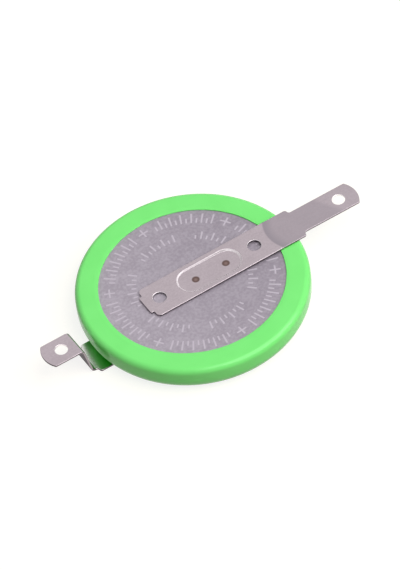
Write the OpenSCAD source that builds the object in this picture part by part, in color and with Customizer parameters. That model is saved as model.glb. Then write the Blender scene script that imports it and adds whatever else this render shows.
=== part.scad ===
// Lithium coin cell with two solder tabs and an insulating sleeve, in millimetres.
// The cell's axis is Z and its positive face looks up. The positive tab points along +X and the
// negative tab along -X. The origin is where the axis meets the underside of the negative tab,
// which is the face that the part rests on.

/* [Cell] */
// Diameter of the bare cell
cell_d = 23; // [20:0.1:24.5]
// Height of the bare cell from the cap's face to the can's face
cell_h = 3; // [2.7:0.05:5]
// Sheet thickness of the positive can
can_t = 0.25; // [0.2:0.01:0.3]
// Outside radius of the corner round the can's closed face
can_corner_r = 0.5; // [0.35:0.05:0.7]
// Outside radius of the crimp that closes the can over the gasket
crimp_r = 1.4; // [1.1:0.05:1.45]
// Distance that the crimped lip reaches in from the side of the can
crimp_reach = 1.5; // [1.45:0.05:1.7]
// Sheet thickness of the negative cap
cap_t = 0.25; // [0.2:0.01:0.3]
// Inside radius of the bends round the cap's face
cap_bend_r = 0.15; // [0.1:0.01:0.2]

/* [Gasket] */
// Width of the gasket's visible ring, between the crimped lip and the cap
gasket_ring = 0.4; // [0.3:0.05:0.5]
// Thickness of the gasket between the crimped lip and the cap's shoulder
gasket_lip_t = 0.25; // [0.2:0.01:0.35]
// Thickness of the gasket between the can's wall and the cap's rim
gasket_wall_t = 0.4; // [0.3:0.01:0.5]
// Thickness of the gasket between the can's closed end and the cap's rim
gasket_floor_t = 0.3; // [0.2:0.01:0.5]

/* [Inside] */
// Thickness of the lithium disc
anode_h = 0.6; // [0.4:0.05:0.75]
// Radial gap between the lithium disc and the cap
anode_clear = 0.25; // [0.2:0.05:0.6]
// Thickness of the separator
separator_t = 0.15; // [0.1:0.01:0.2]
// Radial gap between the separator and the cap
separator_clear = 0.1; // [0.05:0.01:0.2]
// Radial gap between the cathode pellet and the cap
cathode_clear = 0.35; // [0.2:0.05:0.6]
// Chamfer on the edges of the cathode pellet
cathode_chamfer = 0.15; // [0.05:0.05:0.3]
// Thickness of the current collector
collector_t = 0.1; // [0.05:0.01:0.15]
// Radial gap between the edge of the collector and that of the pellet
collector_inset = 0.2; // [0.1:0.05:0.5]
// Diameter of the holes in the collector
collector_hole_d = 1.1; // [0.6:0.1:1.4]
// Distance between the rings of holes in the collector
collector_ring_pitch = 2; // [1.8:0.1:2.1]

/* [Sleeve] */
// Wall thickness of the shrunk sleeve
sleeve_t = 0.12; // [0.08:0.01:0.2]
// Diameter of the sleeve's opening over the can's face
sleeve_open_d = 18.5; // [16:0.1:19]
// Gap between the sleeve's lower lap and the cap
sleeve_cap_clear = 0.1; // [0.05:0.01:0.3]
// Gap between the sleeve's lower lap and the negative tab
lap_clear = 0.1; // [0.05:0.01:0.2]

/* [Tabs] */
// Sheet thickness of both tabs
tab_t = 0.2; // [0.15:0.01:0.25]
// Width of the welded part of a tab
tab_w = 4; // [3.8:0.1:4.4]
// Width of the solder end of a tab
end_w = 3; // [2.8:0.05:3.2]
// Distance from the cell's axis to the short end of a tab
tail_l = 5.1; // [5:0.05:5.6]
// Radius of the corners at the short end
tail_corner_r = 0.5; // [0.2:0.05:0.7]
// Length of the cut-off nib at the short end
nib_l = 0.35; // [0.25:0.01:0.4]
// Width of the nib
nib_w = 2.3; // [1.8:0.1:2.6]
// Radius of the nib's corners
nib_r = 0.12; // [0.05:0.01:0.12]
// Distance from the cell's axis to the shoulders where a tab narrows
shoulder_x = 12.15; // [12:0.05:12.25]
// Radius of the corners and fillets at the shoulders
shoulder_r = 0.25; // [0.1:0.01:0.25]
// Radius of the arc across the tip of a tab
tip_arc_r = 2.5; // [2:0.1:4]
// Radius of the corners beside the tip's arc
tip_corner_r = 0.25; // [0.1:0.05:0.5]
// Diameter of the hole in the solder end
end_hole_d = 1.3; // [1:0.05:1.5]
// Distance from the middle of that hole to the tip
hole_to_tip = 2; // [1.6:0.05:2.3]
// Diameter of the two pilot holes in the welded part
pilot_d = 1.4; // [1:0.05:1.5]
// Distance from the cell's axis to the middle of the two pilot holes
pilot_x = 1.75; // [1.65:0.05:2.1]
// Distance between the two pilot holes
pilot_pitch = 11; // [10.8:0.1:11.4]
// Diameter of a weld spot
weld_d = 0.9; // [0.6:0.05:1.1]
// Depth of the dimple that a weld spot leaves
weld_depth = 0.04; // [0.02:0.01:0.08]
// Distance from the cell's axis to the middle of the two weld spots
weld_x = 2.1; // [1.9:0.05:2.4]
// Distance between the two weld spots
weld_pitch = 3.5; // [3:0.05:3.6]

/* [Positive tab] */
// Distance from the cell's axis to the tip of the positive tab
positive_reach = 19.1; // [18:0.1:24]
// Gap between the positive tab and the sleeve that it passes over
tab_sleeve_clear = 0.1; // [0.05:0.01:0.25]
// Distance from the cell's axis to the middle of the pressed weld pad
pad_x = 2; // [1.9:0.05:2.1]
// Distance between the middles of the pad's round ends
pad_pitch = 4; // [3.8:0.1:4.2]
// Radius of the pad's round ends at the top of the sheet
pad_r = 1.7; // [1.5:0.05:1.75]
// Width in plan of the pad's sloping wall
pad_slope = 0.2; // [0.15:0.01:0.3]

/* [Negative tab] */
// Distance from the cell's axis to the tip of the negative tab
negative_reach = 17.1; // [16.6:0.1:22]
// Gap between the sleeve and the foot of the negative tab's leg
leg_gap = 1.1; // [1.05:0.05:1.6]
// Angle by which the leg leans away from the cell
leg_lean = 8; // [0:1:12]
// Inside radius of the bend at the leg's foot
foot_bend_r = 0.3; // [0.15:0.05:0.4]
// Inside radius of the bend at the leg's top
top_bend_r = 0.4; // [0.2:0.05:0.6]

/* [Hidden] */
$fn = 96;

// Colours, as seen or as the material usually looks
sleeve_green = [0.49, 0.94, 0.5];
can_grey = [0.66, 0.63, 0.66];
cap_grey = [0.7, 0.68, 0.69];
tab_grey = [0.71, 0.67, 0.69];
gasket_white = [0.85, 0.86, 0.84];
lithium_grey = [0.62, 0.65, 0.68];
separator_white = [0.93, 0.93, 0.91];
cathode_black = [0.13, 0.13, 0.14];
collector_grey = [0.55, 0.55, 0.56];

// The cell's own levels are counted up from the cap's face, which lies on the negative tab
cell_r = cell_d / 2;
cap_proud = sleeve_t + lap_clear;
lip_top = cap_proud + can_t;
lip_end_r = cell_r - crimp_reach;
can_inner_r = cell_r - can_t;
ceiling = cell_h - can_t;
cap_face_r = lip_end_r - gasket_ring;
cap_shoulder = lip_top + gasket_lip_t;
cap_shoulder_r = crimp_r - can_t - gasket_wall_t;
cap_rim_r = can_inner_r - gasket_wall_t;
cap_rim_top = ceiling - gasket_floor_t;
pocket_r = cap_face_r - cap_t;
separator_z = cap_t + anode_h;
cathode_z = separator_z + separator_t;
collector_z = ceiling - collector_t;
cathode_r = pocket_r - cathode_clear;
collector_r = cathode_r - collector_inset;
collector_rings = floor((collector_r - collector_hole_d) / collector_ring_pitch);

// The sleeve
sleeve_r = cell_r + sleeve_t;
sleeve_low_r = cap_face_r + sleeve_cap_clear;

// The tabs, in the part's own levels
face_z = tab_t + cell_h;
standoff = sleeve_t + tab_sleeve_clear;
tab_top = face_z + standoff + tab_t;
weld_ball_r = (pow(weld_d / 2, 2) + pow(weld_depth, 2)) / (2 * weld_depth);
foot_outer_r = foot_bend_r + tab_t;
foot_centre = [sleeve_r + leg_gap - foot_bend_r, foot_outer_r];
leg_normal = [cos(leg_lean), -sin(leg_lean)];
leg_dir = [sin(leg_lean), cos(leg_lean)];
bend_offset = foot_outer_r + top_bend_r;
leg_rise = tab_top - tab_t - top_bend_r - foot_centre[1] + bend_offset * sin(leg_lean);
leg_l = leg_rise / cos(leg_lean);
top_centre = foot_centre + bend_offset * leg_normal + leg_l * leg_dir;

// Length past a face that a cut runs, so that it leaves no skin
over = 1;
// Straight stretches that make up each bend of the negative tab
bend_steps = 12;

// The sliver between a square corner and the round that fits it. The round's middle lies on the
// side of the corner that the signs side_x and side_y give. It is cut from an outer corner to
// round it, and added to an inner corner as a fillet.
module spandrel(corner, r, side_x, side_y) {
    translate(corner) scale([side_x, side_y]) difference() {
        square(r);
        translate([r, r]) circle(r);
    }
}

// A rectangle from one corner to the other
module box_2d(low, high) {
    translate(low) square(high - low);
}

// Sections of the cell, radius across and height up

// Everything inside the can's outer surface, or the sleeve's where grow is the sleeve's wall
module can_outline(grow = 0) {
    low = cap_proud - grow;
    high = cell_h + grow;
    difference() {
        box_2d([0, low], [cell_r + grow, high]);
        spandrel([cell_r + grow, high], can_corner_r + grow, -1, -1);
        spandrel([cell_r + grow, low], crimp_r + grow, -1, 1);
    }
}

// The can's hollow with its mouth
module can_hollow() {
    difference() {
        box_2d([0, lip_top], [can_inner_r, ceiling]);
        spandrel([can_inner_r, ceiling], can_corner_r - can_t, -1, -1);
        spandrel([can_inner_r, lip_top], crimp_r - can_t, -1, 1);
    }
    box_2d([0, cap_proud], [lip_end_r, lip_top]);
}

// Everything inside the cap's outer surface, or its inner surface where inset is the sheet
module cap_outline(inset = 0) {
    face_edge = [cap_face_r - inset, inset];
    rim_edge = [cap_rim_r - inset, cap_shoulder + inset];
    difference() {
        union() {
            box_2d([0, inset], [face_edge[0], rim_edge[1]]);
            box_2d([0, rim_edge[1]], [rim_edge[0], cap_rim_top]);
        }
        spandrel(face_edge, cap_bend_r + cap_t - inset, -1, 1);
        spandrel(rim_edge, cap_shoulder_r - inset, -1, 1);
    }
    spandrel([face_edge[0], rim_edge[1]], cap_bend_r + inset, 1, -1);
}

// A revolved section, set on the negative tab
module revolve() {
    translate([0, 0, tab_t]) rotate_extrude() children();
}

// A disc inside the cell
module disc(r, from, to) {
    translate([0, 0, tab_t + from]) cylinder(h = to - from, r = r);
}

// Parts of a tab

// The rounded tip, a square-cut strip from a given place on and a wide arc across its end
module tip_2d(from, tip) {
    corner_y = end_w / 2 - tip_corner_r;
    arc_x = tip - tip_arc_r;
    inner_r = tip_arc_r - tip_corner_r;
    corner_x = arc_x + sqrt(inner_r * inner_r - corner_y * corner_y);
    half_angle = asin(corner_y / inner_r);
    fan = 2 * tip_arc_r * [cos(half_angle), sin(half_angle)];
    box_2d([from, -end_w / 2], [corner_x, end_w / 2]);
    for (side = [-1, 1]) translate([corner_x, side * corner_y]) circle(tip_corner_r);
    translate([arc_x, 0]) intersection() {
        circle(tip_arc_r);
        polygon([[0, 0], [fan[0], -fan[1]], fan]);
    }
}

// A tab seen from above: short end with its nib, welded part, shoulders, solder end
module tab_plan(tip) {
    difference() {
        union() {
            box_2d([-tail_l, -tab_w / 2], [shoulder_x, tab_w / 2]);
            box_2d([-tail_l - nib_l, -nib_w / 2], [0, nib_w / 2]);
        }
        for (side = [-1, 1]) {
            spandrel([-tail_l, side * tab_w / 2], tail_corner_r, 1, -side);
            spandrel([-tail_l - nib_l, side * nib_w / 2], nib_r, 1, -side);
            spandrel([shoulder_x, side * tab_w / 2], shoulder_r, -1, -side);
        }
    }
    for (side = [-1, 1]) {
        spandrel([-tail_l, side * nib_w / 2], nib_r, -1, side);
        spandrel([shoulder_x, side * end_w / 2], shoulder_r, 1, side);
    }
    tip_2d(0, tip);
}

// The two pilot holes and the hole in the solder end, cut through everything from z up by h
module tab_holes(tip, z, h) {
    for (side = [-1, 1])
        translate([pilot_x + side * pilot_pitch / 2, 0, z]) cylinder(h = h, r = pilot_d / 2);
    translate([tip - hole_to_tip, 0, z]) cylinder(h = h, r = end_hole_d / 2);
}

// The hollows of the two weld spots in a surface at z, pressed from above or from below
module weld_spots(z, from_above) {
    lift = (weld_ball_r - weld_depth) * (from_above ? 1 : -1);
    for (side = [-1, 1])
        translate([weld_x + side * weld_pitch / 2, 0, z + lift]) sphere(weld_ball_r);
}

// A stadium-shaped block whose sides slope, low_r round its ends below and high_r above
module stadium(low_r, high_r, z, h) {
    translate([pad_x - pad_pitch / 2, 0, z]) {
        for (x = [0, pad_pitch]) translate([x, 0, 0]) cylinder(h = h, r1 = low_r, r2 = high_r);
        rotate([90, 0, 90]) linear_extrude(pad_pitch)
            polygon([[-low_r, 0], [low_r, 0], [high_r, h], [-high_r, h]]);
    }
}

// Points along an arc round a middle, from one angle to the next
function arc(middle, r, from, to) =
    [for (i = [0:bend_steps]) let (a = from + (to - from) * i / bend_steps) middle + r * [cos(a), sin(a)]];

// The negative tab from the side: strip, foot bend, leg, top bend and solder pad
module tab_side() {
    short_end = -tail_l - nib_l;
    polygon(concat(
        [[short_end, 0]],
        arc(foot_centre, foot_bend_r + tab_t, -90, -leg_lean),
        arc(top_centre, top_bend_r, 180 - leg_lean, 90),
        [[negative_reach, tab_top - tab_t], [negative_reach, tab_top]],
        arc(top_centre, top_bend_r + tab_t, 90, 180 - leg_lean),
        arc(foot_centre, foot_bend_r, -leg_lean, -90),
        [[short_end, tab_t]]));
}

// Pieces

// Heat-shrink ring round the side of the cell, lapped over both faces
module insulating_sleeve() {
    color(sleeve_green) revolve() difference() {
        can_outline(sleeve_t);
        can_outline();
        box_2d([0, cell_h - over], [sleeve_open_d / 2, cell_h + over]);
        box_2d([0, cap_proud - over], [sleeve_low_r, cap_proud + over]);
    }
}

// Drawn steel can, its edge crimped inwards over the gasket
module positive_can() {
    color(can_grey) revolve() difference() {
        can_outline();
        can_hollow();
        box_2d([0, 0], [lip_end_r, lip_top]);
    }
}

// Moulded ring that fills the space between the can and the cap
module sealing_gasket() {
    color(gasket_white) revolve() difference() {
        intersection() {
            can_hollow();
            union() {
                box_2d([cap_face_r, 0], [cell_r, cap_rim_top]);
                box_2d([cap_rim_r - cap_t, cap_rim_top], [cell_r, cell_h]);
            }
        }
        cap_outline();
    }
}

// Drawn steel cap, face down, its rim held in the gasket
module negative_cap() {
    color(cap_grey) revolve() difference() {
        cap_outline();
        cap_outline(cap_t);
    }
}

// Lithium disc pressed on the inside of the cap
module lithium_anode() {
    color(lithium_grey) disc(pocket_r - anode_clear, cap_t, separator_z);
}

// Porous plastic disc on the lithium
module separator() {
    color(separator_white) disc(pocket_r - separator_clear, separator_z, cathode_z);
}

// Pressed tablet with chamfered edges
module cathode_pellet() {
    color(cathode_black) revolve() polygon([[0, cathode_z], [cathode_r - cathode_chamfer, cathode_z],
        [cathode_r, cathode_z + cathode_chamfer], [cathode_r, collector_z - cathode_chamfer],
        [cathode_r - cathode_chamfer, collector_z], [0, collector_z]]);
}

// Perforated metal disc between the pellet and the can, with six more holes in each ring
module current_collector() {
    color(collector_grey) difference() {
        disc(collector_r, collector_z, ceiling);
        for (ring = [1:collector_rings])
            for (hole = [1:6 * ring])
                rotate(60 * hole / ring) translate([ring * collector_ring_pitch, 0, 0])
                    disc(collector_hole_d / 2, collector_z - over, ceiling + over);
    }
}

// Stamped strip that stands off the can on its pressed weld pad and passes over the sleeve
module positive_tab() {
    sheet_z = face_z + standoff;
    floor_r = pad_r - pad_slope;
    skirt = pad_slope / 2;
    color(tab_grey) difference() {
        union() {
            translate([0, 0, sheet_z]) linear_extrude(tab_t) tab_plan(positive_reach);
            stadium(floor_r + skirt, pad_r + skirt, face_z, standoff);
        }
        stadium(floor_r, pad_r, face_z + tab_t, standoff);
        tab_holes(positive_reach, sheet_z - over, tab_t + 2 * over);
        weld_spots(face_z + tab_t, true);
    }
}

// Stamped strip welded flat on the cap, bent up beside the cell into a pad level with the other tab
module negative_tab() {
    color(tab_grey) mirror([1, 0, 0]) difference() {
        intersection() {
            rotate([90, 0, 0]) linear_extrude(tab_w, center = true) tab_side();
            linear_extrude(tab_top) tab_plan(negative_reach);
        }
        tab_holes(negative_reach, -over, tab_top + 2 * over);
        weld_spots(0, false);
    }
}

insulating_sleeve();
positive_can();
sealing_gasket();
negative_cap();
lithium_anode();
separator();
cathode_pellet();
current_collector();
positive_tab();
negative_tab();
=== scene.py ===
# %% [markdown]
# Lithium coin cell with two solder tabs
#
# This lesson dresses a finished CAD part for a studio picture. The part is a flat battery, 23 mm
# across, in a bright green shrink sleeve, with a steel strip welded to each of its faces. The
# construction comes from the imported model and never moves. Blender adds the surfaces, the light,
# and new pieces for the sleeve and the two strips, whose soft edges a plain solid can't show.

# %% Load the fixed frame
import math

import bmesh
import bpy
from mathutils import Matrix, Vector


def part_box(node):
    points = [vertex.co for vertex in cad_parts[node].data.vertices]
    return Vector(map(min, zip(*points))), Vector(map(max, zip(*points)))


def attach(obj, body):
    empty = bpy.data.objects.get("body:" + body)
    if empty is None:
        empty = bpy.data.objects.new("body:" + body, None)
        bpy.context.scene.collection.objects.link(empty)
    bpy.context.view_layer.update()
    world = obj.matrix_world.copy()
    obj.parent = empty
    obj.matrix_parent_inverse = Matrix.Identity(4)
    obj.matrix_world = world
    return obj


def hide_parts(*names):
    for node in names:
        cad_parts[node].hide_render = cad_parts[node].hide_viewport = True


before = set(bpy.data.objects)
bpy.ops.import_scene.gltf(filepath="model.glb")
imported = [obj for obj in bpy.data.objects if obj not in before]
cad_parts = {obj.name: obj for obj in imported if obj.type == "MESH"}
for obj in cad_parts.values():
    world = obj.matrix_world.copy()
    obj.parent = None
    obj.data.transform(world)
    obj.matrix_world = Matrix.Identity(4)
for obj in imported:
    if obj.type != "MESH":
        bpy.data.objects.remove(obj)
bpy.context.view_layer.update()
MM = 0.001
print("nodes:", ", ".join(sorted(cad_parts)))

# %% [markdown]
# Sizes from the frame
#
# Levels and reaches are read from the box of the node that has them, so that a changed part still
# fits its looks. Heights are counted from the underside of the negative tab, on which the cell
# rests. The positive tab points along +X and the negative tab along -X. Small things are easier
# to model at one unit to the millimetre, because Blender's fill and merge tools work with fixed
# tolerances, so these values are in millimetres, and each piece is shrunk when it is done.


# %% Read the levels and reaches
def box_mm(node):
    """The lowest and highest corner of a node, in millimetres."""
    return [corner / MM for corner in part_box(node)]


sleeve_low, sleeve_high = box_mm("insulating_sleeve")
positive_low, positive_high = box_mm("positive_tab")
can_high = box_mm("positive_can")[1]
SLEEVE_R = sleeve_high.y
SLEEVE_T = SLEEVE_R - can_high.y
CAN_FACE = can_high.z
TAB_T = box_mm("negative_cap")[0].z
SHEET_TOP = positive_high.z
POSITIVE_TIP = positive_high.x
NEGATIVE_TIP = -box_mm("negative_tab")[0].x
TAB_END = -positive_low.x
print(f"sleeve radius {SLEEVE_R:.2f}, film {SLEEVE_T:.2f}, can face at {CAN_FACE:.2f} mm")
print(f"sheet {TAB_T:.2f} mm, tips at {POSITIVE_TIP:.2f} and {NEGATIVE_TIP:.2f} mm from the axis")

# %% [markdown]
# The camera
#
# The picture is taken from far away with a long lens, so the round cell shows as an even ellipse.
# The camera looks down at about 49 degrees and is rolled a little, which tips the ellipse. It is
# placed from one known point, the middle of the sleeve's top plane, and from where that point
# lies in the picture.

# %% Place the camera
PHOTO_W = 400
PHOTO_H = 570
CAMERA_DISTANCE = 1.0
CAMERA_AZIMUTH = math.radians(-25.8)
CAMERA_ELEVATION = math.radians(49.19)
CAMERA_ROLL = math.radians(-8.34)
PIXELS_PER_METRE = 10.214 / MM
CENTRE_PX = Vector((192.16, 280.79))
SENSOR = 36.0


def direction(azimuth, elevation):
    """The way from the object to a camera or lamp at these angles, in radians."""
    level = math.cos(elevation)
    return Vector((math.sin(azimuth) * level, -math.cos(azimuth) * level, math.sin(elevation)))


back = direction(CAMERA_AZIMUTH, CAMERA_ELEVATION)
level_right = Vector((math.cos(CAMERA_AZIMUTH), math.sin(CAMERA_AZIMUTH), 0))
level_up = back.cross(level_right)
camera_x = math.cos(CAMERA_ROLL) * level_right + math.sin(CAMERA_ROLL) * level_up
camera_y = math.cos(CAMERA_ROLL) * level_up - math.sin(CAMERA_ROLL) * level_right
off_centre = (CENTRE_PX - Vector((PHOTO_W / 2, PHOTO_H / 2))) / PIXELS_PER_METRE
aim = Vector((0, 0, sleeve_high.z * MM)) - off_centre.x * camera_x + off_centre.y * camera_y

camera = bpy.data.objects.new("camera", bpy.data.cameras.new("camera"))
bpy.context.scene.collection.objects.link(camera)
camera.matrix_world = Matrix((camera_x, camera_y, back)).transposed().to_4x4()
camera.location = aim + CAMERA_DISTANCE * back
camera.data.sensor_width = SENSOR
camera.data.lens = SENSOR * PIXELS_PER_METRE * CAMERA_DISTANCE / PHOTO_H
camera.data.clip_start = CAMERA_DISTANCE / 100
camera.data.clip_end = CAMERA_DISTANCE * 10
bpy.context.scene.camera = camera
bpy.context.scene.view_settings.view_transform = "Standard"
print(f"lens {camera.data.lens:.0f} mm")

# %% [markdown]
# A small language for materials
#
# A procedural material is a sum in a graph of nodes. Written node by node it is long and hard to
# read, so one class wraps a socket and lets Python's own operators add the Math nodes. Every
# other node comes from one method, which sets the node up before it feeds its sockets.


# %% Wrap sockets so that arithmetic adds nodes
class Value:
    """An output socket in a material. Arithmetic on it adds Math nodes."""

    def __init__(self, finish, socket):
        self.finish = finish
        self.socket = socket

    def maths(self, operation, *values):
        return self.finish.node("ShaderNodeMath", dict(enumerate(values)), operation=operation)

    def __add__(self, other):
        return self.maths("ADD", self, other)

    def __sub__(self, other):
        return self.maths("SUBTRACT", self, other)

    def __rsub__(self, other):
        return self.maths("SUBTRACT", other, self)

    def __mul__(self, other):
        return self.maths("MULTIPLY", self, other)

    def __truediv__(self, other):
        return self.maths("DIVIDE", self, other)

    def __gt__(self, other):
        return self.maths("GREATER_THAN", self, other)

    def __lt__(self, other):
        return self.maths("LESS_THAN", self, other)

    __radd__ = __add__
    __rmul__ = __mul__

    def size(self):
        return self.maths("ABSOLUTE", self)

    def root(self):
        return self.maths("SQRT", self)

    def rest(self):
        """What is left above the whole number below it."""
        return self.maths("FRACT", self)

    def most(self, other):
        return self.maths("MAXIMUM", self, other)

    def fade(self, start, end):
        """0 at start and 1 at end, with a smooth change between them."""
        places = {0: self, 1: start, 2: end}
        return self.finish.node("ShaderNodeMapRange", places, interpolation_type="SMOOTHSTEP")


def span(a, b):
    """The distance between two points that lie a and b apart in two square directions."""
    return (a * a + b * b).root()


class Graph:
    """The nodes of a material or of the world."""

    def __init__(self, owner):
        owner.use_nodes = True
        self.tree = owner.node_tree
        self.tree.nodes.clear()

    def feed(self, socket, value):
        if isinstance(value, Value):
            self.tree.links.new(value.socket, socket)
        else:
            socket.default_value = value

    def node(self, kind, inputs=None, output=0, **settings):
        """Adds a node. Its settings come first, then the values or links of its sockets."""
        made = self.tree.nodes.new(kind)
        for name, value in settings.items():
            setattr(made, name, value)
        for name, value in (inputs or {}).items():
            self.feed(made.inputs[name], value)
        return Value(self, made.outputs[output]) if made.outputs else made

    def seen_rays(self):
        """1 for the rays that show the ground: the camera's, reflected and transmitted ones."""
        camera_ray, glossy_ray, transmitted_ray = [
            self.node("ShaderNodeLightPath", output=f"Is {kind} Ray")
            for kind in ("Camera", "Glossy", "Transmission")]
        return camera_ray.most(glossy_ray).most(transmitted_ray)


class Finish(Graph):
    """A material with one Principled shader, built up node by node."""

    def __init__(self, name, **constants):
        self.material = bpy.data.materials.new(name)
        super().__init__(self.material)
        self.shader = self.tree.nodes.new("ShaderNodeBsdfPrincipled")
        self.node("ShaderNodeOutputMaterial", {"Surface": Value(self, self.shader.outputs[0])})
        self.set(**constants)
        metres = self.node("ShaderNodeTexCoord", output="Object")
        self.place = self.node("ShaderNodeVectorMath", {0: metres, 3: 1 / MM}, operation="SCALE")

    def set(self, **sockets):
        """Feeds the shader's own sockets."""
        for name, value in sockets.items():
            self.feed(self.shader.inputs[name.replace("_", " ")], value)

    def split(self, vector):
        """The x, y and z of a vector."""
        return [self.node("ShaderNodeSeparateXYZ", {0: vector}, output=i) for i in range(3)]

    def polar(self):
        """Each point's distance from the cell's axis, and its turn round it from 0 to 1."""
        x, y, z = self.split(self.place)
        return span(x, y), x.maths("ARCTAN2", y, x) / (2 * math.pi) + 0.5

    def noise(self, scale, detail=2.0, stretch=(1, 1, 1), place=None):
        """Noise of about 0 to 1 with scale waves to the millimetre, more where stretch is."""
        place = self.node("ShaderNodeMapping", {"Vector": place or self.place, "Scale": stretch})
        return self.node("ShaderNodeTexNoise", {"Vector": place, "Scale": scale, "Detail": detail})

    def mix(self, amount, first, second):
        """A colour between two others."""
        colours = {0: amount, 6: first, 7: second}
        return self.node("ShaderNodeMix", colours, output=2, data_type="RGBA")

    def bump(self, height, depth):
        """Normals of a relief. A height of 1 stands depth millimetres out of the surface."""
        return self.node("ShaderNodeBump", {"Height": height, "Distance": depth * MM})

    def coat(self, *pieces):
        """Puts this material on pieces, in place of what they have."""
        for piece in pieces:
            piece.data.materials.clear()
            piece.data.materials.append(self.material)
        print(self.material.name, "on", ", ".join(piece.name for piece in pieces))


def srgb(red, green, blue):
    """A colour as the eye sees it, from 0 to 255, in the linear form that shaders use."""
    linear = [((c / 255 + 0.055) / 1.055) ** 2.4 for c in (red, green, blue)]
    return (*linear, 1.0)


BLACK = (0, 0, 0, 1)
WHITE = (1, 1, 1, 1)

# %% [markdown]
# Floor and backdrop
#
# The picture has a plain white ground. White doesn't come from more light, which would bleach the
# object as well. The floor glows a little for the camera and for reflections only, and its own
# lit colour on top of the glow keeps the object's soft shadow.

# %% Make the floor
FLOOR_SIZE = 4.0
FLOOR_GLOW = 0.83
bpy.ops.object.select_all(action="DESELECT")
bpy.ops.mesh.primitive_plane_add(size=FLOOR_SIZE)
floor = bpy.context.object
floor.name = "floor"
floor_white = Finish("floor_white", Base_Color=srgb(148, 141, 126), Roughness=0.9,
                     Specular_IOR_Level=0.0, Emission_Strength=FLOOR_GLOW)
floor_white.set(Emission_Color=floor_white.mix(floor_white.seen_rays(), BLACK, WHITE))
floor_white.coat(floor)

# %% [markdown]
# Light
#
# The world gives an even light from all round, and the metal reflects it as white. A large soft
# lamp stands on the right. It lights the top faces fully and the side of the cell weakly, and it
# is low enough that the tabs don't mirror it to someone who looks straight down. A second one,
# lower on the same side, makes the right of the cell lighter. A narrow weak lamp in front adds
# almost no light: it is there to be mirrored, as the bright line on the shoulder.

# %% Light the world
AMBIENT = 0.23
WORLD_WHITE = 1.0
world = bpy.data.worlds.new("studio")
bpy.context.scene.world = world
studio = Graph(world)
studio_light = AMBIENT + studio.seen_rays() * (WORLD_WHITE - AMBIENT)
background = studio.node("ShaderNodeBackground", {"Color": WHITE, "Strength": studio_light})
studio.node("ShaderNodeOutputWorld", {"Surface": background})


def soft_lamp(name, azimuth, elevation, distance, size, level, height=None):
    """A flat lamp aimed at the cell, square unless it has a height. Its level is the light on a
    surface that faces it, where 1 shows a colour as it is written."""
    data = bpy.data.lights.new(name, "AREA")
    data.shape = "RECTANGLE"
    data.size = size
    data.size_y = height or size
    data.energy = level * (math.pi * distance) ** 2
    lamp = bpy.data.objects.new(name, data)
    bpy.context.scene.collection.objects.link(lamp)
    way = direction(math.radians(azimuth), math.radians(elevation))
    lamp.location = distance * way
    lamp.rotation_euler = way.to_track_quat("Z", "Y").to_euler()
    print(f"{name} {data.energy:.3f} W")


soft_lamp("key_lamp", azimuth=40, elevation=58, distance=0.6, size=0.6, level=0.96)
soft_lamp("side_lamp", azimuth=60, elevation=32, distance=0.7, size=0.5, level=0.14)
soft_lamp("front_card", azimuth=-10, elevation=55, distance=0.7, size=0.3, height=0.06, level=0.06)

# %% [markdown]
# Tools for modelling
#
# The pieces are shaped with the same operators as by hand: extrude, bisect, bevel, spin and fill.
# An operator acts on all that is selected, so each step first picks its vertices or edges by
# where they lie, and nothing else.


# %% Pick parts of a mesh by place
NEAR = 0.001
CREASE = math.radians(40)
BEVEL_STEPS = 3


def same(a, b, slack=NEAR):
    return abs(a - b) < slack


def edited_mesh():
    """The mesh in edit mode, with its vertices numbered afresh."""
    mesh = bmesh.from_edit_mesh(bpy.context.edit_object.data)
    mesh.verts.index_update()
    return mesh


def pick(test, kind="VERT", among=None):
    """Selects the vertices that pass a test, or the edges with both ends in it."""
    bpy.ops.mesh.select_mode(type=kind)
    bpy.ops.mesh.select_all(action="DESELECT")
    mesh = edited_mesh()
    for part in mesh.verts if kind == "VERT" else mesh.edges:
        corners = [part] if kind == "VERT" else part.verts
        part.select_set(all(test(v.co) and (among is None or v.index in among) for v in corners))
    mesh.select_flush_mode()
    bmesh.update_edit_mesh(bpy.context.edit_object.data)


def picked():
    """The numbers of the selected vertices."""
    return {v.index for v in edited_mesh().verts if v.select}


def extrude(x=0.0, z=0.0):
    """Extrudes what is selected and moves the new part."""
    bpy.ops.mesh.extrude_region_move(TRANSFORM_OT_translate={"value": (x, 0, z)})


def swell(factor, centre, flat=(1, 1, 0)):
    """Scales what is selected about a centre, in the directions that flat marks with 1."""
    value = [factor if on else 1 for on in flat]
    bpy.ops.transform.resize(value=value, center_override=centre)


def apply_modifier(piece, kind, **settings):
    """Gives a piece a modifier with these settings and makes its result the piece's mesh."""
    added = piece.modifiers.new(kind.lower(), kind)
    for name, value in settings.items():
        setattr(added, name, value)
    bpy.ops.object.modifier_apply(modifier=added.name)


def settle(piece, node, edge):
    """Rounds a piece's sharp edges, shrinks it to metres and sets it in the frame."""
    bpy.ops.object.mode_set(mode="OBJECT")
    apply_modifier(piece, "BEVEL", width=edge, segments=BEVEL_STEPS, limit_method="ANGLE",
                   angle_limit=CREASE, use_clamp_overlap=False, loop_slide=False)
    bpy.ops.object.mode_set(mode="EDIT")
    bpy.ops.mesh.select_all(action="SELECT")
    bpy.ops.transform.resize(value=(MM, MM, MM), center_override=(0, 0, 0))
    bpy.ops.object.mode_set(mode="OBJECT")
    bpy.ops.object.shade_smooth_by_angle(angle=CREASE)
    apply_modifier(piece, "WEIGHTED_NORMAL", keep_sharp=True)
    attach(piece, "root")
    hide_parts(node)
    print(piece.name, len(piece.data.polygons), "faces")


# %% [markdown]
# Shrink sleeve
#
# The real sleeve is a short length of heat-shrink tube. It is pulled over the cell and shrinks
# flat against both faces, so its section is a C with round corners, and its opening comes out a
# little oval. It is lofted here from rings: a circle at the upper opening is extruded and scaled
# from station to station round the corner and down the side. Then it gets its thickness inwards.

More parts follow.
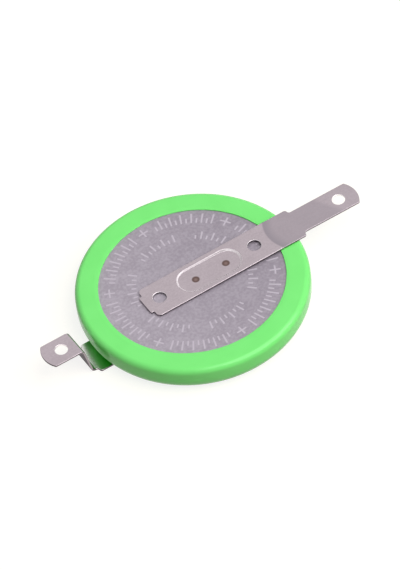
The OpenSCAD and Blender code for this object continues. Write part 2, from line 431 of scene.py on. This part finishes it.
# %% Model the sleeve
SLEEVE_SIDES = 192
SHOULDER_ROUND = 0.62
FOOT_ROUND = 1.52
OPENING_R = 9.24
LAP_SHARES = (0, 0.3, 0.6)
OVAL = 0.0075
OVAL_SHARES = (1, 0.6, 0.25)
LOWER_OPENING_R = 9.7
ARC_STEPS = 12
FILM_EDGE = 0.035


def sleeve_stations():
    """Radius and height of each ring, from the upper opening to the lower one."""
    top, low = sleeve_high.z, sleeve_low.z
    lap_w = SLEEVE_R - SHOULDER_ROUND - OPENING_R
    lap = [(OPENING_R + share * lap_w, top) for share in LAP_SHARES]
    corners = ((SLEEVE_R - SHOULDER_ROUND, top - SHOULDER_ROUND, SHOULDER_ROUND, 90),
               (SLEEVE_R - FOOT_ROUND, low + FOOT_ROUND, FOOT_ROUND, 0))
    rounds = []
    for middle_r, middle_z, r, start in corners:
        for step in range(ARC_STEPS + 1):
            a = math.radians(start - 90 * step / ARC_STEPS)
            rounds.append((middle_r + r * math.cos(a), middle_z + r * math.sin(a)))
    return lap + rounds + [(LOWER_OPENING_R, low)]


stations = sleeve_stations()
bpy.ops.object.select_all(action="DESELECT")
bpy.ops.mesh.primitive_circle_add(vertices=SLEEVE_SIDES, radius=OPENING_R)
sleeve = bpy.context.object
sleeve.name = "shrink_sleeve"
bpy.ops.object.mode_set(mode="EDIT")
bpy.ops.mesh.select_all(action="SELECT")
bpy.ops.transform.translate(value=(0, 0, sleeve_high.z))
for (r, z), (next_r, next_z) in zip(stations, stations[1:]):
    extrude(z=next_z - z)
    swell(next_r / r, (0, 0, next_z))
for share, (r, z) in zip(OVAL_SHARES, stations):
    pick(lambda p: same(math.hypot(p.x, p.y), r) and same(p.z, z))
    stretch = 1 + share * OVAL
    bpy.ops.transform.resize(value=(stretch, 1 / stretch, 1), center_override=(0, 0, 0))
bpy.ops.mesh.select_all(action="SELECT")
bpy.ops.mesh.normals_make_consistent(inside=False)
bpy.ops.object.mode_set(mode="OBJECT")
outward = sum(f.normal.dot(Vector((f.center.x, f.center.y, 0))) for f in sleeve.data.polygons)
print("sleeve faces out" if outward > 0 else "sleeve faces in")
apply_modifier(sleeve, "SOLIDIFY", thickness=SLEEVE_T, offset=-1 if outward > 0 else 1,
               use_even_offset=True)
settle(sleeve, "insulating_sleeve", edge=FILM_EDGE)

# %% [markdown]
# Flat plan of a tab
#
# Both tabs are stamped from one strip, 0.2 mm thick. The welded part is 4 mm wide, the solder end
# 3 mm, and the short end has the nib where it was cut from its carrier. The plan starts as a
# plane. Bisecting it marks the narrower widths, edges extrude into the nib and the solder end,
# and a spun vertex draws the arc of the tip. Bevelled vertices round every corner. Circles become
# holes when all faces are deleted and the outline is filled again.

# %% Draw the plan
TAB_W = 4.0
END_W = 3.0
NIB_W = 2.3
NIB_L = 0.35
NIB_R = 0.12
TAIL_R = 0.5
TAIL_L = TAB_END - NIB_L
SHOULDER_X = 12.15
SHOULDER_R = 0.25
TIP_R = 2.5
TIP_CORNER_R = 0.25
HOLE_TO_TIP = 2.0
END_HOLE_R = 0.65
PILOT_R = 0.7
PILOT_PLACES = (-3.75, 7.25)
HOLE_SIDES = 48
TIP_STEPS = 16
CORNER_STEPS = 6
FLAT = math.radians(0.5)


def strip_holes(tip):
    """The place along the strip and the radius of each of its three holes."""
    return [(tip - HOLE_TO_TIP, END_HOLE_R)] + [(place, PILOT_R) for place in PILOT_PLACES]


def tab_plan(name, side, tip, z):
    """A flat tab in edit mode, one face, pointing along +X for a side of 1 and -X for -1."""
    bpy.ops.object.select_all(action="DESELECT")
    bpy.ops.mesh.primitive_plane_add(size=1)
    bpy.context.object.name = name
    bpy.ops.object.mode_set(mode="EDIT")
    bpy.ops.transform.resize(value=(SHOULDER_X + TAIL_L, TAB_W, 1), center_override=(0, 0, 0))
    bpy.ops.transform.translate(value=(side * (SHOULDER_X - TAIL_L) / 2, 0, z))
    for y in (-END_W / 2, -NIB_W / 2, NIB_W / 2, END_W / 2):
        bpy.ops.mesh.select_all(action="SELECT")
        bpy.ops.mesh.bisect(plane_co=(0, y, z), plane_no=(0, 1, 0))
    pick(lambda p: same(side * p.x, -TAIL_L) and abs(p.y) < NIB_W / 2 + NEAR, "EDGE")
    extrude(x=-side * NIB_L)
    arc_x = tip - TIP_R + math.sqrt(TIP_R ** 2 - (END_W / 2) ** 2)
    pick(lambda p: same(side * p.x, SHOULDER_X) and abs(p.y) < END_W / 2 + NEAR, "EDGE")
    extrude(x=side * (arc_x - SHOULDER_X))
    bpy.ops.mesh.select_all(action="SELECT")
    bpy.ops.mesh.dissolve_limited(angle_limit=FLAT)

    sweep = 2 * math.asin(END_W / 2 / TIP_R)
    pick(lambda p: same(side * p.x, arc_x) and same(p.y, -END_W / 2))
    bpy.ops.mesh.spin(steps=TIP_STEPS, angle=-side * sweep, center=(side * (tip - TIP_R), 0, z),
                      axis=(0, 0, 1))
    bpy.ops.mesh.select_all(action="SELECT")
    bpy.ops.mesh.remove_doubles(threshold=NEAR)
    pick(lambda p: side * p.x > arc_x - NEAR)
    bpy.ops.mesh.edge_face_add()
    bpy.ops.mesh.select_all(action="SELECT")
    bpy.ops.mesh.normals_make_consistent(inside=False)
    bpy.ops.mesh.dissolve_limited(angle_limit=FLAT)

    corners = ((-TAIL_L, TAB_W, TAIL_R), (-TAB_END, NIB_W, NIB_R), (-TAIL_L, NIB_W, NIB_R),
               (SHOULDER_X, TAB_W, SHOULDER_R), (SHOULDER_X, END_W, SHOULDER_R),
               (arc_x, END_W, TIP_CORNER_R * math.tan(sweep / 4)))
    for x, width, run in corners:
        pick(lambda p: same(side * p.x, x) and same(abs(p.y), width / 2))
        bpy.ops.mesh.bevel(offset=run, segments=CORNER_STEPS, affect="VERTICES",
                           clamp_overlap=False)
    bpy.ops.mesh.select_all(action="SELECT")
    bpy.ops.mesh.remove_doubles(threshold=NEAR)
    for x, r in strip_holes(tip):
        bpy.ops.mesh.primitive_circle_add(vertices=HOLE_SIDES, radius=r, location=(side * x, 0, z))
    return bpy.context.edit_object


def fill_outlines(test=None):
    """Fills the flat stretch between the outlines that pass a test, or between all of them."""
    if test is None:
        bpy.ops.mesh.select_all(action="SELECT")
        bpy.ops.mesh.delete(type="ONLY_FACE")
        bpy.ops.mesh.select_all(action="SELECT")
    else:
        pick(test, "EDGE")
    bpy.ops.mesh.fill(use_beauty=True)
    bpy.ops.mesh.dissolve_limited(angle_limit=FLAT)


# %% [markdown]
# Positive tab
#
# The strip stands off the can, because it has to clear the sleeve, and it sinks a little towards
# its short end. The dish that is pressed into it starts as an outline: a circle with one half
# moved along. Once the flat stretch round it is filled, the part beside the solder end's root is
# turned down by a small angle.

# %% Draw the positive strip
DISH_X = 2.0
DISH_PITCH = 4.0
DISH_R = 1.57
DISH_SIDES = 64
SINK = 0.17
SINK_X = 9.2
positive = tab_plan("positive_strip", 1, POSITIVE_TIP, SHEET_TOP)
left_end = DISH_X - DISH_PITCH / 2
bpy.ops.mesh.select_all(action="DESELECT")
bpy.ops.mesh.primitive_circle_add(vertices=DISH_SIDES, radius=DISH_R,
                                  location=(left_end, 0, SHEET_TOP))
pick(lambda p: p.x > left_end + NEAR and same(math.hypot(p.x - left_end, p.y), DISH_R))
bpy.ops.transform.translate(value=(DISH_PITCH, 0, 0))
fill_outlines()
bpy.ops.mesh.select_all(action="SELECT")
bpy.ops.mesh.bisect(plane_co=(SINK_X, 0, SHEET_TOP), plane_no=(1, 0, 0))
pick(lambda p: p.x < SINK_X + NEAR)
bpy.ops.transform.rotate(value=math.atan(SINK / (SINK_X + TAB_END)), orient_axis="Y",
                         center_override=(SINK_X, 0, SHEET_TOP))
print("short end at", round(min(v.co.z for v in edited_mesh().verts), 3))

# %% [markdown]
# Pressed dish
#
# The dish reaches down to the can, and two spot welds hold it there. Its floor is level, so its
# wall is lower at the sunken end. A press makes both bends of the wall soft, so the wall follows a
# smooth curve, ring by ring: each ring is extruded, drawn towards the floor and narrowed about the
# two round ends. The weld electrodes leave two shallow dimples, whose undersides stop at the can.

# %% Press the dish
DISH_FLOOR = CAN_FACE + TAB_T
DISH_FLOOR_R = 1.36
DISH_STEPS = 12
RING_SLACK = 0.004
WELD_R = 0.47
WELD_SIDES = 32
WELD_DEPTH = 0.04
WELD_PLACES = (0.35, 3.85)
WELD_Y = -0.12
WELD_RINGS = ((0, 0.94), (0.45, 0.75), (0.35, 0.6), (0.2, 0.4))


def from_dish(p):
    """How far a point lies from the line between the middles of the dish's round ends."""
    along = min(max(p.x, DISH_X - DISH_PITCH / 2), DISH_X + DISH_PITCH / 2)
    return math.hypot(p.x - along, p.y)


def weld_dimple(x):
    """Presses a shallow round dimple into the dish's floor. Its first ring stays flat, so that the
    floor round it is shaded evenly. Each ring has its share of the depth and its narrowing."""
    pick(lambda p: (same(math.hypot(p.x - x, p.y - WELD_Y), WELD_R, RING_SLACK)
                    and same(p.z, DISH_FLOOR)), "EDGE")
    for share, factor in WELD_RINGS:
        extrude(z=-share * WELD_DEPTH)
        swell(factor, (x, WELD_Y, DISH_FLOOR))
    bpy.ops.mesh.edge_face_add()


r, height = DISH_R, 1.0
for step in range(1, DISH_STEPS + 1):
    share = step / DISH_STEPS
    next_r = DISH_R + share * (DISH_FLOOR_R - DISH_R)
    next_height = 1 - share * share * (3 - 2 * share)
    pick(lambda p: same(from_dish(p), r, RING_SLACK), "EDGE")
    extrude()
    swell(next_height / height, (0, 0, DISH_FLOOR), flat=(0, 0, 1))
    ring = picked()
    for end in (-1, 1):
        pick(lambda p: end * (p.x - DISH_X) > 0, among=ring)
        swell(next_r / r, (DISH_X + end * DISH_PITCH / 2, 0, DISH_FLOOR))
    r, height = next_r, next_height
for x in WELD_PLACES:
    bpy.ops.mesh.primitive_circle_add(vertices=WELD_SIDES, radius=WELD_R,
                                      location=(x, WELD_Y, DISH_FLOOR))
fill_outlines(lambda p: same(p.z, DISH_FLOOR))
for x in WELD_PLACES:
    weld_dimple(x)
print("lowest sheet point", round(min(v.co.z for v in edited_mesh().verts), 3))

# %% Give the positive strip its thickness
ROLLED_EDGE = 0.035
bpy.ops.mesh.select_all(action="SELECT")
bpy.ops.mesh.normals_make_consistent(inside=False)
bpy.ops.object.mode_set(mode="OBJECT")
print("positive strip faces up:", sum(f.normal.z for f in positive.data.polygons) > 0)
apply_modifier(positive, "SOLIDIFY", thickness=TAB_T, offset=-1, use_even_offset=True)
bpy.ops.object.mode_set(mode="EDIT")
pick(lambda p: p.z < CAN_FACE + NEAR)
swell(0, (0, 0, CAN_FACE), flat=(0, 0, 1))
settle(positive, "positive_tab", edge=ROLLED_EDGE)

# %% [markdown]
# Negative tab
#
# The same strip is welded flat under the cell. Beside the cell it bends up, leans out a little and
# bends level again, so that its solder end lies as high as the other tab's. The flat plan is cut
# at both bends. The solder end is lifted to its level, and the leg between the two is spun and
# extruded from the edge of the strip, as a press brake would fold it.

# %% Model the negative tab
LEG_GAP = 1.1
LEG_LEAN = math.radians(12)
FOOT_BEND_R = 0.3
TOP_BEND_R = 0.6
BEND_STEPS = 12
SEAM = 0.01
foot = Vector((SLEEVE_R + LEG_GAP - FOOT_BEND_R, 0, TAB_T + FOOT_BEND_R))
leg_way = Vector((math.sin(LEG_LEAN), 0, math.cos(LEG_LEAN)))
across = Vector((math.cos(LEG_LEAN), 0, -math.sin(LEG_LEAN)))
rise = SHEET_TOP - TOP_BEND_R - foot.z - (FOOT_BEND_R + TOP_BEND_R) * across.z
leg_length = rise / leg_way.z
top = foot + (FOOT_BEND_R + TOP_BEND_R) * across + leg_length * leg_way
print(f"bends at {foot.x:.2f} and {top.x:.2f} mm from the axis, leg {leg_length:.2f} mm long")

negative = tab_plan("negative_strip", -1, NEGATIVE_TIP, TAB_T)
fill_outlines()
for cut in (foot.x, top.x):
    bpy.ops.mesh.select_all(action="SELECT")
    bpy.ops.mesh.bisect(plane_co=(-cut, 0, TAB_T), plane_no=(1, 0, 0))
pick(lambda p: foot.x - NEAR < -p.x < top.x + NEAR)
bpy.ops.mesh.delete(type="FACE")
pick(lambda p: -p.x > top.x - NEAR)
bpy.ops.transform.translate(value=(0, 0, SHEET_TOP - TAB_T))
bend = math.pi / 2 - LEG_LEAN
pick(lambda p: same(-p.x, foot.x) and same(p.z, TAB_T), "EDGE")
bpy.ops.mesh.spin(steps=BEND_STEPS, angle=-bend, center=(-foot.x, 0, foot.z), axis=(0, 1, 0))
extrude(x=-leg_length * leg_way.x, z=leg_length * leg_way.z)
bpy.ops.mesh.spin(steps=BEND_STEPS, angle=bend, center=(-top.x, 0, top.z), axis=(0, 1, 0))
ends = [v.co for v in edited_mesh().verts if v.select]
print("bent edge ends at", [tuple(round(c, 3) for c in p) for p in ends])
bpy.ops.mesh.select_all(action="SELECT")
bpy.ops.mesh.remove_doubles(threshold=SEAM)
bpy.ops.mesh.normals_make_consistent(inside=False)
bpy.ops.object.mode_set(mode="OBJECT")
strip_up = sum(f.normal.z * f.area for f in negative.data.polygons if f.center.z < TAB_T + NEAR) > 0
print("negative strip faces up:", strip_up)
apply_modifier(negative, "SOLIDIFY", thickness=TAB_T, offset=-1 if strip_up else 1,
               use_even_offset=True)
bpy.ops.object.mode_set(mode="EDIT")
settle(negative, "negative_tab", edge=ROLLED_EDGE)

# %% [markdown]
# Shrink film
#
# The sleeve is a thin bright green plastic. It shines softly, and heat has left it slightly
# uneven, so a wide and very shallow bump bends its reflections.

# %% Finish the sleeve
shrink_film = Finish("shrink_film", Roughness=0.2, Specular_IOR_Level=0.36)
cloud = shrink_film.noise(0.3, detail=1.0)
film_green = shrink_film.mix(cloud.fade(0.3, 0.7), srgb(128, 244, 126), srgb(124, 241, 122))
shrink_film.set(Base_Color=film_green, Normal=shrink_film.bump(shrink_film.noise(0.5), 0.012))
shrink_film.coat(sleeve)

# %% [markdown]
# Can face
#
# The can is drawn from stainless steel. Its face has a matt, slightly mottled grain that scatters
# light, so little is mirrored there, and it is painted lighter towards -X, a painted reflection.
# Two rings of fine etched marks run round it: plain strokes of two heights in groups, with a plus
# sign between the groups of the outer ring, which is the sign of this face. Etching leaves the
# metal paler and rougher. The marks are worked out from each point's distance and turn round the
# axis.

# %% Etch and finish the can
can_steel = Finish("etched_can_steel", Metallic=0.2)
reach, turn = can_steel.polar()
GROUPS = 6
STROKE_W = 0.17


def stroke_ring(middle, height, strokes, share, start):
    """Radial strokes in groups round the axis. Every second one is half as tall."""
    slot = ((turn + start) * GROUPS).rest() / share
    stroke = slot * strokes
    pitch = 2 * math.pi * middle * share / GROUPS / strokes
    off_line = (stroke.rest() - 0.5).size() * pitch
    short = (stroke * 0.5).rest() > 0.5
    lift = reach - middle
    tall = (lift > -height / 2) * (lift < height / 2 - short * (height / 2))
    return (off_line < STROKE_W / 2) * (slot < 1.0) * tall


def plus_ring(middle, size, share, start):
    """A plus sign in each gap that the groups of strokes leave."""
    slot = ((turn + start) * GROUPS).rest() - (1 + share) / 2
    along = (slot * (2 * math.pi * middle / GROUPS)).size()
    out = (reach - middle).size()
    upright = (along < STROKE_W / 2) * (out < size / 2)
    return upright.most((out < STROKE_W / 2) * (along < size / 2))


OUTER = {"middle": 8.2, "share": 0.74, "start": 0.05}
marks = stroke_ring(height=1.2, strokes=12, **OUTER).most(plus_ring(size=1.1, **OUTER))
marks = marks.most(stroke_ring(middle=6.0, height=0.95, strokes=8, share=0.74, start=0.13))
grain = can_steel.noise(3.4, detail=3.0)
blotch = can_steel.noise(0.8, detail=3.0)
# painted reflection: the face is painted lighter towards -X, mixed into the mottle
painted_light_side = 1 - can_steel.split(can_steel.place)[0].fade(-10, 10)
mottle_and_painted_light = (grain * 0.65 + blotch * 0.35).fade(0.36, 0.64) * 0.55 + painted_light_side * 0.45
matt = can_steel.mix(mottle_and_painted_light, srgb(148, 139, 150), srgb(176, 167, 178))
can_steel.set(Base_Color=can_steel.mix(marks, matt, srgb(193, 184, 195)))
can_steel.set(Roughness=0.4 + grain * 0.12 + marks * 0.1)
can_steel.set(Normal=can_steel.bump(grain * 0.6 + blotch * 0.4, 0.006))
can_steel.coat(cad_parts["positive_can"])

# %% [markdown]
# Tab steel
#
# The strip is rolled nickel-plated steel, smoother than the can. Stamping shears the upper half of
# a cut edge pale and breaks the lower half off. On the positive tab that lower half is painted
# dark, partly as broken steel and partly as a painted shadow of the gap under the strip. The cut
# edges of both solder ends are dull, and the walls of the holes are painted near white, a painted
# highlight. The wall of the dish is matt, and a pale line along it is a painted highlight, palest
# at its two far corners.
# Welding leaves a brown spot in each dimple, paler in its middle. Where the positive tab passes
# over the sleeve, its steel is darker, in a patch with a round edge that is lighter again towards
# the tip. Each mark is worked out from the place of a point, so it can be described before the
# steel that it is on.

# %% Describe the marks on the strip
PATCH_X = 12.82
PATCH_R = 4.04
PATCH_BLUR = 0.2
PATCH_EDGE = 1.3
PALE_TIP_X = 15.9
PALE_TIP_BLUR = 0.4
PALE_TIP_SLANT = 0.6
WALL_BLUR = 0.02
# the pale line on the dish wall is a painted highlight
DISH_HIGHLIGHT_R = 1.46
DISH_HIGHLIGHT_W = 0.07
DISH_HIGHLIGHT_LEVEL = 0.6
DISH_HIGHLIGHT_ALONG = 0.086
DISH_HIGHLIGHT_ACROSS = 0.1
DISH_HIGHLIGHT_AT_CORNERS = 0.4
CORNERS_ALONG = (1.8, 2.6)
CORNERS_ACROSS = (-0.4, 0.4)
SPOT_RIM = (0.36, 0.5)
SPOT_RIM_WOBBLE = 0.1
SPOT_MIDDLE_RIM = (0.05, 0.3)


def dish_marks(x, y):
    """1 on the wall of the dish, and how pale the painted highlight along it is at each point."""
    past_end = ((x - DISH_X).size() - DISH_PITCH / 2).most(0.0)
    out = span(past_end, y)
    wall = out.fade(DISH_FLOOR_R - WALL_BLUR, DISH_FLOOR_R + WALL_BLUR)
    wall = wall * (1 - out.fade(DISH_R - WALL_BLUR, DISH_R + WALL_BLUR))
    line = 1 - (out - DISH_HIGHLIGHT_R).size().fade(DISH_HIGHLIGHT_W * 0.6, DISH_HIGHLIGHT_W * 1.4)
    corners = (x - DISH_X).size().fade(*CORNERS_ALONG) * y.fade(*CORNERS_ACROSS)
    level = DISH_HIGHLIGHT_LEVEL + DISH_HIGHLIGHT_ALONG * (x - DISH_X) - DISH_HIGHLIGHT_ACROSS * y + DISH_HIGHLIGHT_AT_CORNERS * corners
    return wall, line * level


def patch_marks(x, y):
    """1 from the patch's round edge to the tip, and how dark the patch is at each point."""
    depth = (PATCH_R - span(x - PATCH_X, y)).most(x - PATCH_X)
    inside = depth.fade(0.0, PATCH_BLUR)
    dark = inside * (1 - 0.5 * depth.fade(PATCH_BLUR / 2, PATCH_EDGE))
    towards_tip = x + y * PALE_TIP_SLANT
    pale_tip = towards_tip.fade(PALE_TIP_X - PALE_TIP_BLUR, PALE_TIP_X + PALE_TIP_BLUR)
    return inside, dark * (1 - 0.8 * pale_tip)


def weld_marks(x, y, side, weld_x, blotch):
    """1 on a weld's brown spot, and 1 on the paler middle of it."""
    out = span(x - side * weld_x, y - WELD_Y)
    spot = 1 - (out + blotch * SPOT_RIM_WOBBLE).fade(*SPOT_RIM)
    return spot, spot * (1 - out.fade(*SPOT_MIDDLE_RIM))


# %% [markdown]
# Dressing the tabs
#
# The strip under the cell keeps its bright plating, so that it mirrors the green sleeve. Towards
# the sleeve its top is painted green and dark, a painted reflection of the sleeve and painted
# shade under it. The outer face of the leg is rougher and painted dark, a painted reflection of
# the shaded ground. A cut edge is told from a face by its normal, which points across the strip.

# %% Finish the tabs
SHADE_START = -12.3
SHADE_END = -10.9
LEG_FOOT_Z = TAB_T + FOOT_BEND_R / 2
PAD_Z = SHEET_TOP - TAB_T * 1.2
BREAK_START = 0.07
BREAK_END = 0.11
DULL_EDGE = srgb(124, 114, 120)
FOOT_EDGE = srgb(112, 103, 107)
BROKEN_EDGE_AND_PAINTED_SHADOW = srgb(64, 56, 60)
PAINTED_HOLE_HIGHLIGHT = srgb(240, 234, 236)
PAINTED_DISH_HIGHLIGHT = srgb(244, 236, 240)
PAINTED_SHADE_FACE = srgb(70, 60, 66)
PATCH = srgb(155, 146, 154)
SPOT = srgb(106, 86, 82)
SPOT_MIDDLE = srgb(136, 114, 110)


def tab_steel(name, side, tip, edge):
    """The strip's finish on one side of the cell. edge is the colour of its cut edges."""
    steel = Finish(name, Metallic=1.0)
    x, y, z = steel.split(steel.place)
    face = steel.split(steel.node("ShaderNodeNewGeometry", output="Normal"))
    cut = face[1].size().fade(0.55, 0.8)
    lines = steel.noise(1.6, detail=3.0, stretch=(0.25, 4, 4))
    speckle = steel.noise(4.5, detail=2.0)
    blotch = steel.noise(0.5, detail=2.0)
    tone = (lines * 0.2 + speckle * 0.4 + blotch * 0.4).fade(0.35, 0.65)
    colour = steel.mix(tone, srgb(179, 167, 173), srgb(187, 175, 181))
    wall = dull = broken_and_painted_shadow = 0.0
    if side > 0:
        wall, dish_highlight = dish_marks(x, y)
        inside, dark = patch_marks(x, y)
        # painted highlight: a pale line along the wall of the dish
        colour = steel.mix(dish_highlight, colour, PAINTED_DISH_HIGHLIGHT)
        colour = steel.mix(dark, colour, PATCH)
        edge = steel.mix(inside, edge, DULL_EDGE)
        # the lower band of each cut edge, counted down from the sloping top, is partly broken steel
        # and partly a painted shadow of the gap under the strip
        sunk = (SINK_X - x).most(0.0) * (SINK / (SINK_X + TAB_END))
        broken_and_painted_shadow = (SHEET_TOP - sunk - z).fade(BREAK_START, BREAK_END) * (1 - inside)
    else:
        # painted reflection and painted shade: the strip's top turns green and dark towards the
        # sleeve
        plating_and_painted_sleeve_reflection = steel.mix(x.fade(SHADE_START, SHADE_END), srgb(222, 218, 218), srgb(100, 184, 88))
        colour = steel.mix((z < LEG_FOOT_Z) * (face[2] > 0.9), colour, plating_and_painted_sleeve_reflection)
        edge = steel.mix(z < LEG_FOOT_Z, edge, FOOT_EDGE)
        edge = steel.mix(z > PAD_Z, edge, DULL_EDGE)
        # painted shade: faces pointing out along the strip, mostly the leg's outer face, are
        # rougher and painted dark as a painted reflection of the shaded ground
        dull = (side * face[0]).fade(0.4, 0.8)
        colour = steel.mix(dull, colour, PAINTED_SHADE_FACE)
    for weld_x in WELD_PLACES:
        spot, middle = weld_marks(x, y, side, weld_x, blotch)
        colour = steel.mix(middle, steel.mix(spot, colour, SPOT), SPOT_MIDDLE)
    colour = steel.mix(cut, colour, edge)
    # painted highlight: the walls and rims of the holes are painted near white
    for place, r in strip_holes(tip):
        hole = span(x - side * place, y) < r + ROLLED_EDGE / 2
        colour = steel.mix(hole, colour, PAINTED_HOLE_HIGHLIGHT)
        cut = cut.most(hole)
    # painted shadow on the lower band of cut edges and hole walls
    colour = steel.mix(cut * broken_and_painted_shadow, colour, BROKEN_EDGE_AND_PAINTED_SHADOW)
    steel.set(Base_Color=colour, Roughness=0.12 + tone * 0.05 + cut * 0.3 + dull * 0.4 + wall * 0.3)
    steel.set(Metallic=1 - 0.85 * wall)
    steel.set(Normal=steel.bump(lines * 0.6 + speckle * 0.4, 0.0012))
    return steel


tab_steel("positive_tab_steel", 1, POSITIVE_TIP, srgb(186, 176, 180)).coat(positive)
tab_steel("negative_tab_steel", -1, NEGATIVE_TIP, srgb(168, 158, 163)).coat(negative)

# %% [markdown]
# Negative cap and sealing gasket
#
# The cap is pressed from stainless steel and closes the cell from below, with the gasket between
# its rim and the can. Drawing leaves fine rings in the cap, so its grain is noise that is squeezed
# across the rings and hardly changes along them. The gasket is milky polypropylene.

# %% Finish the cap and the gasket
cap_steel = Finish("drawn_cap_steel", Metallic=1.0)
cap_reach, cap_turn = cap_steel.polar()
ring_place = cap_steel.node("ShaderNodeCombineXYZ", {0: cap_reach * 6, 1: cap_turn * 5})
rings = cap_steel.noise(1.0, detail=4.0, place=ring_place)
haze = cap_steel.noise(0.6, detail=3.0)
streak = (rings * 0.7 + haze * 0.3).fade(0.35, 0.65)
drawn = cap_steel.mix(streak, srgb(176, 172, 172), srgb(196, 192, 192))
cap_steel.set(Base_Color=drawn, Roughness=0.24 + haze * 0.14, Normal=cap_steel.bump(rings, 0.003))
cap_steel.coat(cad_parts["negative_cap"])

gasket_plastic = Finish("gasket_plastic", Specular_IOR_Level=0.45)
milk = gasket_plastic.noise(1.2, detail=2.0)
milky = gasket_plastic.mix(milk.fade(0.3, 0.7), srgb(228, 226, 216), srgb(238, 237, 230))
gasket_plastic.set(Base_Color=milky, Roughness=0.42 + milk * 0.12,
                   Normal=gasket_plastic.bump(milk, 0.008))
gasket_plastic.coat(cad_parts["sealing_gasket"])

# %% [markdown]
# Inside the cell
#
# The works are out of sight in the picture, yet each has the finish of the real thing. The lithium
# disc is soft rolled metal that dulls in patches. The separator is a felt of fine plastic fibres.
# The cathode is a tablet pressed from black powder, and the collector is a thin perforated sheet
# of stainless steel with a rolled grain.

# %% Finish the works
lithium = Finish("lithium_metal", Metallic=1.0)
rolled = lithium.noise(2.0, detail=3.0, stretch=(0.2, 3, 3))
dull = lithium.noise(0.5, detail=5.0).fade(0.48, 0.66)
lithium.set(Base_Color=lithium.mix(dull, srgb(206, 205, 200), srgb(150, 147, 142)))
lithium.set(Roughness=0.38 + dull * 0.3, Normal=lithium.bump(rolled, 0.01))
lithium.coat(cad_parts["lithium_anode"])

felt = Finish("separator_felt", Roughness=0.95, Specular_IOR_Level=0.2)
fibres = felt.noise(4.0, stretch=(1, 12, 1)).most(felt.noise(4.0, stretch=(12, 1, 1)))
felt.set(Base_Color=felt.mix(fibres.fade(0.4, 0.75), srgb(222, 221, 214), srgb(243, 243, 239)))
felt.set(Normal=felt.bump(fibres, 0.03))
felt.coat(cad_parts["separator"])

powder = Finish("cathode_powder", Specular_IOR_Level=0.3)
grains = powder.noise(9.0, detail=3.0)
sheen = powder.noise(0.7, detail=2.0)
powder.set(Base_Color=powder.mix(grains.fade(0.35, 0.7), srgb(38, 38, 40), srgb(66, 65, 66)))
powder.set(Roughness=0.7 + sheen * 0.2, Normal=powder.bump(grains, 0.02))
powder.coat(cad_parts["cathode_pellet"])

collector = Finish("collector_sheet", Metallic=1.0)
draw_lines = collector.noise(3.0, detail=3.0, stretch=(0.15, 5, 5))
rolled_sheet = collector.mix(draw_lines.fade(0.3, 0.7), srgb(158, 157, 155), srgb(184, 183, 181))
collector.set(Base_Color=rolled_sheet)
collector.set(Roughness=0.3 + draw_lines * 0.12, Normal=collector.bump(draw_lines, 0.004))
collector.coat(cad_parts["current_collector"])
print("materials:", ", ".join(sorted(m.name for m in bpy.data.materials if m.users)))
